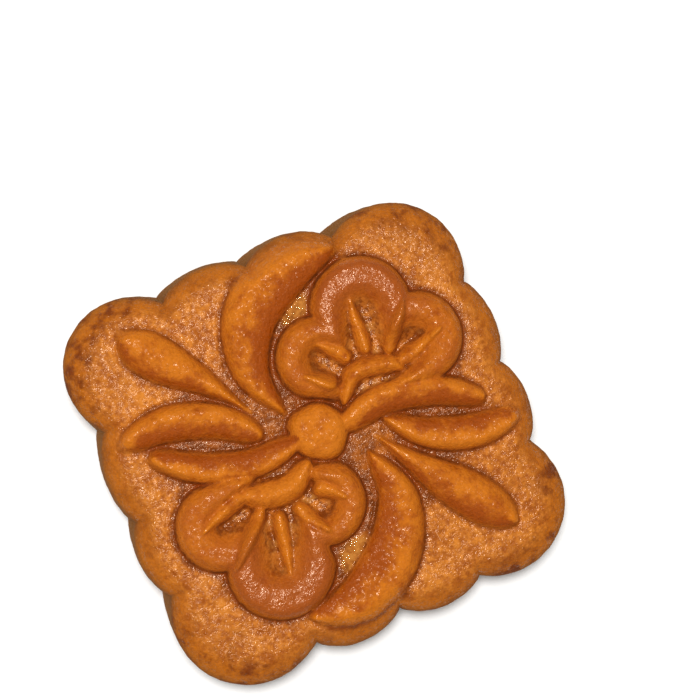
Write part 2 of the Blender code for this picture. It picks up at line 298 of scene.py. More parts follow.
# --- outline of the cake --------------------------------------------------------------------------
def rim_point(index, t, lobes, offset):
    """Point at share t of one lobe; offset moves it out along the plain rounded square's normal."""
    index %= len(RIM)
    x, y, bulge, kind = RIM[index]
    start = Vector((x, y))
    chord = Vector(RIM[(index + 1) % len(RIM)][:2]) - start
    half = chord.length / 2.0
    along = chord.normalized()
    out = Vector((along.y, -along.x))
    heading = math.pi / 2.0 * (index // 3)
    if kind == SIDE:
        base = start + chord * t
        normal = out
        swell = bulge
    else:
        heading += math.pi / 2.0 * t
        radius = half / math.sin(math.pi / 4.0)
        depth = radius * math.cos(math.pi / 4.0)
        turn = (t - 0.5) * math.pi / 2.0
        reach = radius * math.cos(turn) - depth
        base = start + chord / 2.0 + along * radius * math.sin(turn) + out * reach
        normal = out * math.cos(turn) + along * math.sin(turn)
        swell = bulge - (radius - depth)
    arch = (1.0 - (2.0 * t - 1.0) ** 2) ** LOBE_FULLNESS[kind]
    plain = Vector((math.cos(heading), math.sin(heading)))
    return base + normal * (lobes * swell * arch) + plain * offset


def rim_at(side, share, lobes, offset):
    """Point on the scalloped outline at a share of a side, from one corner's middle to the next."""
    first = 3 * side
    stretches = ((first - 1, 0.5, 1.0), (first, 0.0, 1.0), (first + 1, 0.0, 1.0),
                 (first + 2, 0.0, 0.5))
    for (index, start, end), low, high in zip(stretches, LOBE_SHARES, LOBE_SHARES[1:]):
        if share <= high:
            t = start + (end - start) * (share - low) / (high - low)
            return rim_point(index, min(t, 1.0), lobes, offset)
    raise ValueError("share is from 0 to 1")


def place(point, height):
    return ((point[0] - CENTRE.x) * MM, (point[1] - CENTRE.y) * MM, height * MM)


def spline(points, t):
    """Catmull-Rom curve through the points, at share t of its knots."""
    knots = [Vector(point) for point in points]
    knots = [2 * knots[0] - knots[1]] + knots + [2 * knots[-1] - knots[-2]]
    spans = len(knots) - 3
    index = min(int(t * spans), spans - 1)
    f = t * spans - index
    a, b, c, d = knots[index:index + 4]
    return 0.5 * (2 * b + (c - a) * f + (2 * a - 5 * b + 4 * c - d) * f ** 2
                  + (3 * b - a - 3 * c + d) * f ** 3)


def ring_place(i, j):
    """Ring, side and share of that side of one grid corner of the face."""
    ring = max(abs(i), abs(j))
    if ring == 0:
        return 0, 0, 0.0
    if i == ring and j < ring:
        return ring, 0, (j + ring) / (2 * ring)
    if j == ring and i > -ring:
        return ring, 1, (ring - i) / (2 * ring)
    if i == -ring and j > -ring:
        return ring, 2, (ring - j) / (2 * ring)
    return ring, 3, (i + ring) / (2 * ring)


def build_blank(block):
    """The cake before it is pressed: a gridded face, a rounded shoulder, a wall and a flat base."""
    corners = [Vector((1, -1)), Vector((1, 1)), Vector((-1, 1)), Vector((-1, -1)), Vector((1, -1))]
    shoulder = block.shoulder / MM
    ground = block.face_height / MM
    half = HALF_SIZE - Vector((shoulder, shoulder))
    n = FACE_CELLS
    vertices = []
    fades = []
    grid = {}
    for j in range(-n, n + 1):
        for i in range(-n, n + 1):
            ring, side, share = ring_place(i, j)
            out = ring / n
            corner = corners[side].lerp(corners[side + 1], share)
            square = CENTRE + Vector((corner.x * half.x, corner.y * half.y))
            rim = rim_at(side, share, TOP_LOBES, -shoulder)
            point = CENTRE + (square.lerp(rim, out ** 3) - CENTRE) * out
            spread = ((point.x - CENTRE.x) / HALF_SIZE.x) ** 2
            spread += ((point.y - CENTRE.y) / HALF_SIZE.y) ** 2
            crown = block.crown / MM * max(0.0, 1.0 - spread) * (1.0 - out ** 8)
            grid[i, j] = len(vertices)
            vertices.append(place(point, ground + crown))
            fades.append(1.0)
    faces = [(grid[i, j], grid[i + 1, j], grid[i + 1, j + 1], grid[i, j + 1])
             for j in range(-n, n) for i in range(-n, n)]
    around = [(side, step / (2 * n)) for side in range(4) for step in range(2 * n)]
    edge = ([grid[n, j] for j in range(-n, n)] + [grid[i, n] for i in range(n, -n, -1)]
            + [grid[-n, j] for j in range(n, -n, -1)] + [grid[i, -n] for i in range(-n, n)])
    rings = []
    for step in range(1, SHOULDER_RINGS + 1):
        turn = math.pi / 2.0 * (1.0 - step / SHOULDER_RINGS)
        inset = shoulder * (1.0 - math.cos(turn))
        lobes = 1.0 - (1.0 - TOP_LOBES) * inset / shoulder
        fade = min(1.0, max(0.0, (inset / shoulder - 0.12) / 0.5))
        rings.append((lobes, -inset, ground - shoulder * (1.0 - math.sin(turn)), 1.0, fade))
    for step in range(1, WALL_RINGS + 1):
        lobes, out, height = spline(WALL, step / WALL_RINGS)
        rings.append((lobes, out, max(height, 0.0), 1.0, 0.0))
    for scale in BASE_RINGS:
        rings.append((WALL[-1][0], WALL[-1][1], 0.0, scale, 0.0))
    for lobes, offset, height, scale, fade in rings:
        row = []
        for side, share in around:
            point = CENTRE + (rim_at(side, share, lobes, offset) - CENTRE) * scale
            row.append(len(vertices))
            vertices.append(place(point, height))
            fades.append(fade)
        for k, corner in enumerate(edge):
            m = (k + 1) % len(edge)
            faces.append((corner, row[k], row[m], edge[m]))
        edge = row
    apex = len(vertices)
    vertices.append((0.0, 0.0, 0.0))
    fades.append(0.0)
    for k, corner in enumerate(edge):
        faces.append((edge[(k + 1) % len(edge)], corner, apex))
    mesh = bpy.data.meshes.new("blank")
    mesh.from_pydata(vertices, [], faces)
    mesh.attributes.new("fade", "FLOAT", "POINT").data.foreach_set("value", fades)
    return link_object("blank", mesh)


def link_object(name, data):
    item = bpy.data.objects.new(name, data)
    bpy.context.scene.collection.objects.link(item)
    return item


# --- plan of the pressed pattern ------------------------------------------------------------------
def build_plan(relief):
    """Points along every spine; each carries what the press needs to know about its form."""
    forms = []
    for spine, half_width, widest, fullness, rise, crest in RIDGES.values():
        forms.append((spine, (half_width, widest, fullness), (rise, crest, 0.0), 0.0))
    for spine in STAMENS:
        lift = (relief.stamen_rise / MM, 0.0, relief.stamen_fade)
        forms.append((spine, STAMEN_SHAPE, lift, 1.0))
    points = []
    rows = {"form": [], "ahead": [], "outline": [], "lift": [], "way": []}
    for number, (spine, (half_width, widest, fullness), lift, flag) in enumerate(forms):
        rough = sum((Vector(b) - Vector(a)).length for a, b in zip(spine, spine[1:]))
        steps = math.ceil(rough / PLAN_STEP)
        for step in range(steps + 1):
            t = step / steps
            span = 0.5 / steps
            low, high = max(t - span, 0.0), min(t + span, 1.0)
            ahead = (spline(spine, high) - spline(spine, low)) / (high - low)
            points.append(place(spline(spine, t), 0.0))
            rows["form"].append(number)
            rows["ahead"].append((*ahead.normalized(), 0.0))
            rows["outline"].append((half_width * MM, math.log(0.5) / math.log(widest), fullness))
            rows["lift"].append((lift[0] * MM, lift[1], lift[2]))
            rows["way"].append((t, ahead.length * MM, flag))
    mesh = bpy.data.meshes.new("plan")
    mesh.from_pydata(points, [], [])
    mesh.attributes.new("form", "INT", "POINT").data.foreach_set("value", rows.pop("form"))
    for name, row in rows.items():
        flat = [number for vector in row for number in vector]
        mesh.attributes.new(name, "FLOAT_VECTOR", "POINT").data.foreach_set("vector", flat)
    return link_object("plan", mesh), len(forms)


# --- the press ------------------------------------------------------------------------------------
def named(tree, name, kind="FLOAT"):
    node = wire(tree, "GeometryNodeInputNamedAttribute", {"Name": name}, data_type=kind)
    return (Arrow if kind == "FLOAT_VECTOR" else Term)(tree, node.outputs["Attribute"])


def stored(tree, geometry, name, value):
    node = wire(tree, "GeometryNodeStoreNamedAttribute",
                {"Geometry": geometry, "Name": name, "Value": value},
                data_type="FLOAT", domain="POINT")
    return node.outputs["Geometry"]


def blurred(tree, value, iterations):
    node = wire(tree, "GeometryNodeBlurAttribute", {"Value": value, "Iterations": iterations},
                data_type="FLOAT")
    return Term(tree, node.outputs["Value"])


def rounded_edge(reach, width):
    """Quarter-round rise from 0 at the outline to 1 a given width inside it."""
    return (1.0 - (1.0 - (reach / width).clamped()) ** 2.0).root()


def blossom_group():
    """Node group: height and outline of one blossom of three petals that grow out of an eye."""
    tree = bpy.data.node_groups.new("blossom", "GeometryNodeTree")
    face = tree.interface
    sockets = [("Place", "Vector"), ("Eye", "Vector"), ("Eye Radius", "Float")]
    for number in (1, 2, 3):
        sockets += [("Petal {}".format(number), "Vector"),
                    ("Petal {} Radius".format(number), "Float")]
    sockets += [(name, "Float") for name in ("Height", "Edge", "Floor", "Bowl Start", "Bowl End")]
    for name, kind in sockets:
        face.new_socket(name, in_out="INPUT", socket_type="NodeSocket" + kind)
    for name in ("Height", "Reach", "Rim", "Tip", "Hollow"):
        face.new_socket(name, in_out="OUTPUT", socket_type="NodeSocketFloat")
    given = wire(tree, "NodeGroupInput").outputs
    spoke = Arrow(tree, given["Place"]) - given["Eye"]
    eye_radius = Term(tree, given["Eye Radius"])
    reach = None
    for number in (1, 2, 3):
        name = "Petal {}".format(number)
        stem = Arrow(tree, given[name]) - given["Eye"]
        share = (spoke.dot(stem) / stem.dot(stem)).clamped()
        radius = eye_radius + share * (Term(tree, given[name + " Radius"]) - eye_radius)
        petal = radius - (spoke - stem * share).length()
        reach = petal if reach is None else reach.most(petal)
    axis = (Arrow(tree, given["Petal 2"]) - given["Eye"]).unit()
    way = spoke.length()
    share = way / (way + reach).most(0.0001)
    facing = spoke.dot(axis) / way.most(0.0001)
    rim = share.eased(given["Bowl Start"], given["Bowl End"]) * facing.eased(-0.75, -0.15)
    floor = Term(tree, given["Floor"])
    edge = rounded_edge(reach, given["Edge"])
    height = edge * (floor + (Term(tree, given["Height"]) - floor) * rim)
    tip = facing.eased(0.60, 0.95) * share.eased(0.55, 0.75)
    hollow = share.eased(0.50, 0.70, 1.0, 0.0)
    wire(tree, "NodeGroupOutput",
         {"Height": height, "Reach": reach, "Rim": rim, "Tip": tip, "Hollow": hollow})
    return tree


def press_ridges(tree, geometry, plan, forms, given):
    """Repeats over the plan's forms and keeps the highest relief that any of them gives."""
    start = tree.nodes.new("GeometryNodeRepeatInput")
    end = tree.nodes.new("GeometryNodeRepeatOutput")
    start.pair_with_output(end)
    feed(tree, start.inputs["Iterations"], forms)
    feed(tree, start.inputs["Geometry"], geometry)
    chosen = wire(tree, "FunctionNodeCompare",
                  {2: named(tree, "form", "INT"), 3: start.outputs["Iteration"]},
                  data_type="INT", operation="EQUAL")
    spine = wire(tree, "GeometryNodeSeparateGeometry",
                 {"Geometry": plan, "Selection": chosen.outputs[0]}, domain="POINT").outputs[0]
    here = Arrow(tree, wire(tree, "GeometryNodeInputPosition").outputs[0]).times((1.0, 1.0, 0.0))
    nearest = wire(tree, "GeometryNodeSampleNearest",
                   {"Geometry": spine, "Sample Position": here}, domain="POINT").outputs[0]

    def sampled(value):
        node = wire(tree, "GeometryNodeSampleIndex",
                    {"Geometry": spine, "Value": value, "Index": nearest},
                    data_type="FLOAT_VECTOR", domain="POINT")
        return Arrow(tree, node.outputs["Value"])

    offset = here - sampled(wire(tree, "GeometryNodeInputPosition").outputs[0])
    ahead = sampled(named(tree, "ahead", "FLOAT_VECTOR"))
    half_width, bias, fullness = sampled(named(tree, "outline", "FLOAT_VECTOR")).parts()
    rise, crest, fade = sampled(named(tree, "lift", "FLOAT_VECTOR")).parts()
    share, speed, flag = sampled(named(tree, "way", "FLOAT_VECTOR")).parts()
    ahead_x, ahead_y, _ = ahead.parts()
    beside = offset.dot(arrow_of(tree, -ahead_y, ahead_x, 0.0))
    raw = share + offset.dot(ahead) / speed
    t = raw.clamped()
    beyond = (raw - t) * speed
    u = t ** bias
    width = half_width * (4.0 * u * (1.0 - u)).clamped() ** fullness
    reach = width - (beside * beside + beyond * beyond).root()
    across = (beside / width.most(0.00005)).least(1.0).most(-1.0)
    off_crest = ((across - crest) ** 2.0 + given["Crest Softness"] ** 2.0).root()
    fall = 1.0 - given["Crest Fall"] * off_crest / (1.0 + crest.size())
    inward = 1.0 - (reach / width.most(0.00005)).clamped()
    edge = (1.0 - inward ** given["Roundness"]).root()
    height = rise * (width / half_width) ** given["Taper"] * edge * fall * (1.0 - fade * t)
    beyond_crest = (crest - across) * crest.maths("SIGN", crest) / (1.0 + crest.size())
    highest = height.maths("GREATER_THAN", height, named(tree, "relief"))
    far = named(tree, "far")
    inner = start.outputs["Geometry"]
    inner = stored(tree, inner, "far", far + (beyond_crest.clamped() - far) * highest)
    inner = stored(tree, inner, "relief", named(tree, "relief").most(height * (1.0 - flag)))
    inner = stored(tree, inner, "stamen", named(tree, "stamen").most(height * flag))
    inner = stored(tree, inner, "reach", named(tree, "reach").most(reach - flag))
    feed(tree, end.inputs["Geometry"], inner)
    return end.outputs["Geometry"]


def press_tree(relief):
    """Geometry Nodes tree that presses the pattern into the blank's face."""
    tree = bpy.data.node_groups.new("press_relief", "GeometryNodeTree")
    tree.is_modifier = True
    face = tree.interface
    face.new_socket("Geometry", in_out="INPUT", socket_type="NodeSocketGeometry")
    face.new_socket("Geometry", in_out="OUTPUT", socket_type="NodeSocketGeometry")
    face.new_socket("Plan", in_out="INPUT", socket_type="NodeSocketObject")
    face.new_socket("Crust", in_out="INPUT", socket_type="NodeSocketMaterial")
    face.new_socket("Forms", in_out="INPUT", socket_type="NodeSocketInt")
    for key, prop in relief_inputs(relief):
        kind = "NodeSocketInt" if prop.type == "INT" else "NodeSocketFloat"
        face.new_socket(prop.name, in_out="INPUT", socket_type=kind)
    source = wire(tree, "NodeGroupInput").outputs
    given = {socket.name: Term(tree, socket) for socket in source if socket.name}
    plan = wire(tree, "GeometryNodeObjectInfo", {"Object": source["Plan"]}).outputs["Geometry"]
    geometry = stored(tree, source["Geometry"], "reach", -1.0)
    geometry = press_ridges(tree, geometry, plan, source["Forms"], given)

    here = Arrow(tree, wire(tree, "GeometryNodeInputPosition").outputs[0])
    flat = here.times((1.0, 1.0, 0.0))
    blossom = blossom_group()
    bed, petal_reach, petal_rim, petal_tip, petal_hollow = None, None, None, None, None
    for eye, petals in BLOSSOMS:
        inputs = {"Place": flat, "Eye": place(eye, 0.0), "Eye Radius": eye[2] * MM,
                  "Height": given["Petal Height"], "Edge": given["Petal Edge"],
                  "Floor": given["Bowl Floor"], "Bowl Start": given["Bowl Start"],
                  "Bowl End": given["Bowl End"]}
        for number, petal in enumerate(petals, 1):
            inputs["Petal {}".format(number)] = place(petal, 0.0)
            inputs["Petal {} Radius".format(number)] = petal[2] * MM
        node = tree.nodes.new("GeometryNodeGroup")
        node.node_tree = blossom
        for key, value in inputs.items():
            feed(tree, node.inputs[key], value)
        height, reach, rim, tip, hollow = (Term(tree, output) for output in node.outputs)
        rim = rim * reach.eased(0.0, 0.0008)
        hollow = hollow * reach.eased(0.0, 0.0015)
        petal_hollow = hollow if petal_hollow is None else petal_hollow.most(hollow)
        petal_tip = tip * rim if petal_tip is None else petal_tip.most(tip * rim)
        bed = height if bed is None else bed.most(height)
        petal_reach = reach if petal_reach is None else petal_reach.most(reach)
        petal_rim = rim if petal_rim is None else petal_rim.most(rim)

    spoke = flat - place(KNOB, 0.0)
    bulge_way = (math.cos(KNOB_BULGE_ANGLE), math.sin(KNOB_BULGE_ANGLE), 0.0)
    fuller = spoke.unit().dot(bulge_way).most(0.0) ** 3.0
    knob_radius = given["Knob Radius"] + given["Knob Bulge"] * fuller
    spoke_x, spoke_y, _ = spoke.parts()
    angle = spoke_y.maths("ARCTAN2", spoke_y, spoke_x)
    for count, size, start in KNOB_WAVES:
        knob_radius = knob_radius + (angle * count + start).sine() * (size * MM)
    knob_reach = knob_radius - spoke.length()
    out = (spoke.length() / knob_radius).clamped()
    knob = given["Knob Height"] * (1.0 - out ** 4.0).root()

    inside = petal_reach.eased(0.0, 0.0006)
    lift = named(tree, "relief").most(bed + named(tree, "stamen") * inside).most(knob)
    reach = named(tree, "reach").most(petal_reach).most(knob_reach)
    away = 1.0 - (-reach / given["Groove Width"]).clamped()
    groove = given["Groove Depth"] * away * away * reach.eased(-0.0003, 0.0002, 1.0, 0.0)
    lift = lift - groove
    geometry = stored(tree, geometry, "lift", lift)
    geometry = stored(tree, geometry, "soft", blurred(tree, named(tree, "lift"),
                                                      source["Softening"]))
    geometry = stored(tree, geometry, "wide", blurred(tree, named(tree, "soft"), 12))
    geometry = stored(tree, geometry, "broad", blurred(tree, named(tree, "wide"), 130))
    soft, wide, broad, fade = (named(tree, name) for name in ("soft", "wide", "broad", "fade"))
    # These masks place painted light on the crust: crease, valley, bowl and hub its shade, crest its
    # highlight.
    geometry = stored(tree, geometry, "crease", ((wide - soft) / 0.0006).clamped() * fade)
    geometry = stored(tree, geometry, "crest", ((soft - wide) / 0.0005).clamped() * fade)
    geometry = stored(tree, geometry, "valley", (broad - soft).eased(0.0003, 0.0010) * fade)
    geometry = stored(tree, geometry, "height", (soft / 0.0026).clamped() * fade)
    geometry = stored(tree, geometry, "petal", petal_rim)
    geometry = stored(tree, geometry, "tip", petal_tip)
    raised = named(tree, "relief").most(named(tree, "stamen")).eased(0.0001, 0.0007)
    geometry = stored(tree, geometry, "raised", raised.most(knob_reach.eased(0.0, 0.0003)))
    bowl = petal_hollow * (1.0 - named(tree, "raised"))
    geometry = stored(tree, geometry, "bowl", bowl)
    hub = (flat - place(KNOB, 0.0)).length().eased(0.008, 0.017, 1.0, 0.0)
    geometry = stored(tree, geometry, "hub", hub * reach.eased(-0.0004, 0.0002, 1.0, 0.0))
    pool = None
    for x, y, radius in POOLS:
        near = (flat - place((x, y), 0.0)).length()
        spot = near.eased(radius * MM * 0.6, radius * MM, 1.0, 0.0)
        pool = spot if pool is None else pool.most(spot)
    geometry = stored(tree, geometry, "pool", pool * reach.eased(-0.0006, 0.0, 1.0, 0.0))

    seed = given["Seed"]
    lumps = noise(tree, here, 90.0, 2.0, 0.5, seed) - 0.5
    dents = noise(tree, here, 420.0, 2.0, 0.6, seed + 3.0) - 0.5
    rough = given["Unevenness"] * (lumps * 1.6 + dents * 1.5)
    normal = Arrow(tree, wire(tree, "GeometryNodeInputNormal").outputs[0])
    on_floor = here.parts()[2].eased(0.0, 0.0015)
    offset = arrow_of(tree, 0.0, 0.0, soft * fade) + normal * (rough * on_floor)
    moved = wire(tree, "GeometryNodeSetPosition", {"Geometry": geometry, "Offset": offset})
    steep = 1.0 - Arrow(tree, wire(tree, "GeometryNodeInputNormal").outputs[0]).parts()[2]
    geometry = stored(tree, moved.outputs[0], "steep", steep.clamped())
    shaded = wire(tree, "GeometryNodeSetShadeSmooth", {"Geometry": geometry})
    real = wire(tree, "GeometryNodeRealizeInstances", {"Geometry": shaded.outputs[0]})
    dressed = wire(tree, "GeometryNodeSetMaterial",
                   {"Geometry": real.outputs[0], "Material": source["Crust"]})
    wire(tree, "NodeGroupOutput", {"Geometry": dressed.outputs[0]})
    return tree


def relief_inputs(relief):
    """The relief's settings in the order in which the press lists them."""
    skip = {"rna_type", "name"}
    return [(key, prop) for key, prop in relief.bl_rna.properties.items() if key not in skip]


def pressed_mesh(blank, plan, forms, relief, material):
    """Runs the press on the blank and returns its result as a plain mesh."""
    tree = press_tree(relief)
    press = blank.modifiers.new("press", "NODES")
    press.node_group = tree
    values = {"Plan": plan, "Crust": material, "Forms": forms}
    for key, prop in relief_inputs(relief):
        values[prop.name] = getattr(relief, key)
    for item in tree.interface.items_tree:
        if item.in_out == "INPUT" and item.name in values:
            press[item.identifier] = values[item.name]
    graph = bpy.context.evaluated_depsgraph_get()
    graph.update()
    mesh = bpy.data.meshes.new_from_object(blank.evaluated_get(graph), depsgraph=graph)
    blank.modifiers.remove(press)
    return mesh


# --- crust ----------------------------------------------------------------------------------------
def attribute(tree, name):
    node = wire(tree, "ShaderNodeAttribute", attribute_name=name, attribute_type="GEOMETRY")
    return Term(tree, node.outputs["Fac"])


def crust_material(finish):
    """Egg-washed crust: toasted where raised, painted highlight on crests, painted light on steep sides,
    painted shade in creases, valleys and bowls, yellow-brown down the wall with painted shade.
    """
    material = bpy.data.materials.new(CRUST_SLOT)
    material.use_nodes = True
    tree = material.node_tree
    surface = tree.nodes["Principled BSDF"]
    where = Arrow(tree, wire(tree, "ShaderNodeTexCoord").outputs["Object"])
    depth = where.parts()[2]
    names = ("height", "raised", "far", "crease", "crest", "valley", "hub", "petal", "tip", "bowl",
             "pool", "steep", "fade")
    height, raised, far, crease, crest, valley, hub, petal, tip, bowl, pool, steep, fade = (
        attribute(tree, name) for name in names)

    blotch = noise(tree, where, 130.0, 3.0, 0.6, 1.0)
    patch = noise(tree, where, 380.0, 3.0, 0.65, 5.0)
    mottle = noise(tree, where, 1000.0, 3.0, 0.65, 2.0)
    grain = noise(tree, where, 1800.0, 2.0, 0.7, 3.0)
    ground = blended(tree, (patch * 0.6 + mottle * 0.5).eased(0.42, 0.69),
                     finish.ground_dark, finish.ground_light)
    # Browning by noise, darker beyond the crest; the crest term lightens each crest as a painted
    # highlight.
    toast_and_crest_highlight = patch * 0.6 + blotch * 0.5 + mottle * 0.2 - far.eased(0.1, 0.8) * 0.20 + crest * 0.12 - 0.05
    forms = blended(tree, toast_and_crest_highlight.eased(0.42, 0.68), finish.raised_dark, finish.raised_light)
    colour = blended(tree, height.eased(0.25, 0.75).most(raised), ground, forms)
    browned = petal * (blotch * 0.4 + patch * 0.6).eased(0.40, 0.60, 0.0, 0.9)
    browned = browned * (1.0 - raised)
    colour = blended(tree, browned.clamped(), colour, finish.petal)
    colour = blended(tree, (tip * (0.5 + blotch * 0.6)).clamped(), colour, finish.tip)
    # Painted shade: dark patches deep in the blossoms' bowls, broken up by noise.
    bowl_painted_shade = bowl * (mottle * 0.5 + patch * 0.5).eased(0.45, 0.57, 0.75, 0.0)
    colour = blended(tree, bowl_painted_shade, colour, finish.bowl)
    # Painted light: steep faces are lifted toward the lighter side colour to offset their shade.
    steep_painted_light = (steep.eased(0.2, 0.7) * fade).clamped()
    colour = blended(tree, steep_painted_light * (0.6 + bowl * 0.25), colour, finish.side)
    # Painted shade on the narrow ground between forms and round the knob.
    valley_painted_shade = valley.most(hub * 0.75) * (0.7 + patch * 0.5) * (1.0 - bowl * 0.75)
    colour = blended(tree, valley_painted_shade.clamped(), colour, finish.valley)
    # More painted shade in those valleys, as dark grainy speckle.
    valley_shade_grit = valley.most(hub * 0.75) * (mottle * 0.5 + patch * 0.5).eased(0.43, 0.55, 0.55, 0.0)
    colour = blended(tree, valley_shade_grit * (1.0 - bowl), colour, finish.bowl)
    crumbs = bowl * noise(tree, where, 520.0, 2.0, 0.6, 6.0).eased(0.52, 0.62)
    colour = blended(tree, crumbs * 0.7, colour, finish.pool)
    wash = pool * (patch * 0.5 + mottle * 0.5).eased(0.40, 0.58, 0.3, 1.0)
    colour = blended(tree, wash, colour, finish.pool)
    # Painted shade in the creases where forms meet the ground.
    crease_painted_shade = crease * crease * (1.0 - height * 0.7) * patch.eased(0.3, 0.6, 0.4, 0.95)
    colour = blended(tree, crease_painted_shade.clamped(), colour, finish.crease)
    golden = depth.eased(0.0250, 0.0240) * fade.eased(0.6, 1.0, 1.0, 0.75) * (1.0 - raised)
    golden = golden * (1.0 - petal) * (patch * 0.6 + mottle * 0.4).eased(0.3, 0.55, 0.5, 1.0)
    colour = blended(tree, golden.clamped(), colour, finish.shoulder)
    # Down the shoulder and wall the colour turns to the wall's own olive-brown, darkened as painted shade
    # toward the outline.
    wall_colour_and_shade = (depth.eased(0.0242, 0.0195) * (0.8 + blotch * 0.4)).clamped()
    x, y, _ = where.parts()
    corner = (x.size() * y.size()).eased(0.00045, 0.00070, 0.45, 1.0)
    toasted = (depth.eased(0.0252, 0.0247) * depth.eased(0.0175, 0.0215) * corner
               * (patch * 0.6 + blotch * 0.4).eased(0.45, 0.62))
    colour = blended(tree, wall_colour_and_shade, colour, finish.wall)
    colour = blended(tree, (toasted * 0.9).clamped(), colour, finish.toast)
    base = depth.eased(0.0045, 0.0005, 0.0, 0.85)
    colour = blended(tree, base, colour, finish.base)
    tone = noise(tree, where, 2400.0, 2.0, 0.6, 7.0).eased(0.3, 0.7, 0.92, 1.08)
    colour = blended(tree, 1.0, colour, tone, "MULTIPLY")
    feed(tree, surface.inputs["Base Color"], colour)

    wall = depth.eased(0.0243, 0.0175)
    gleam = 0.56 - height * 0.24 + petal * 0.08 + tip * 0.24 + bowl * 0.12
    gleam = gleam + crest * 0.3 + pool * 0.5 + valley * 0.12
    gleam = gleam - wall * 0.9 - steep.eased(0.2, 0.6) * 0.25
    specks = (noise(tree, where, 1500.0, 2.0, 0.7, 4.0) + gleam * 0.5 - 0.25).eased(0.42, 0.58)
    dullness = finish.roughness - (finish.roughness - finish.glaze_roughness) * specks
    feed(tree, surface.inputs["Roughness"], (dullness - pool * 0.2).clamped())
    fine = grain * (1.0 - height * 0.35) + mottle * 0.8
    bump = wire(tree, "ShaderNodeBump",
                {"Strength": 1.0, "Distance": finish.grain_depth, "Height": fine})
    feed(tree, surface.inputs["Normal"], bump.outputs[0])
    surface.inputs["Specular IOR Level"].default_value = finish.shine
    surface.inputs["Specular Tint"].default_value = finish.shine_colour
    return material


def floor_material(stage):
    material = bpy.data.materials.new("pale_floor")
    material.use_nodes = True
    surface = material.node_tree.nodes["Principled BSDF"]
    surface.inputs["Base Color"].default_value = stage.floor_colour
    surface.inputs["Roughness"].default_value = 0.9
    return material


# --- settings -------------------------------------------------------------------------------------
def length(name, description, value, **settings):
    return bpy.props.FloatProperty(name=name, description=description, default=value,
                                   unit="LENGTH", precision=5, **settings)


def number(name, description, value, **settings):
    return bpy.props.FloatProperty(name=name, description=description, default=value, **settings)


def colour(name, description, value):
    return bpy.props.FloatVectorProperty(name=name, description=description, default=(*value, 1.0),
                                         size=4, subtype="COLOR", min=0.0, max=1.0)


class MooncakeBlock(bpy.types.PropertyGroup):
    """Sizes of the plain block."""
    face_height: length("Face Height", "Height of the face between the raised forms", 0.025)
    crown: length("Crown", "How much higher the face is at its middle", 0.0005)
    shoulder: length("Shoulder", "Radius of the rounding from the face into the wall", 0.0042)


class MooncakeRelief(bpy.types.PropertyGroup):
    """Sizes of the pressed pattern, each an input of the press."""
    petal_height: length("Petal Height", "Height of a petal's raised rim", 0.0030)
    petal_edge: length("Petal Edge", "Width of the rounded edge of a petal", 0.0022)
    bowl_floor: length("Bowl Floor", "Height of a blossom's sunken middle", 0.0002)
    bowl_start: number("Bowl Start", "Share of the way out where the bowl is lowest", 0.54)
    bowl_end: number("Bowl End", "Share of the way out where it is at full height", 0.80)
    roundness: number("Roundness", "Section of a leaf or crescent: 2 is round, more is flatter", 3.0)
    crest_fall: number("Crest Fall", "Share of the height lost from the crest to an edge", 0.40)
    crest_softness: number("Crest Softness", "Rounding of the crest, as a share of the width", 0.15)
    taper: number("Taper", "How fast a form loses height where it narrows", 0.30)
    stamen_rise: length("Stamen Rise", "Height of a stamen above the bowl", 0.0022)
    stamen_fade: number("Stamen Fade", "Share of that height lost towards its tip", 0.4)
    knob_radius: length("Knob Radius", "Radius of the round knob", 0.0047)
    knob_bulge: length("Knob Bulge", "Extra radius on the knob's fuller side", 0.0007)
    knob_height: length("Knob Height", "Height of the round knob", 0.0030)
    groove_depth: length("Groove Depth", "Depth of the groove pressed round each form", 0.0003)
    groove_width: length("Groove Width", "Width of that groove", 0.0016)
    unevenness: length("Unevenness", "Size of the dough's lumps and dents", 0.00025)
    softening: bpy.props.IntProperty(
        name="Softening", description="How much the baking has rounded the relief", default=1)
    seed: bpy.props.IntProperty(name="Seed", description="Picks the lumps and dents", default=7)


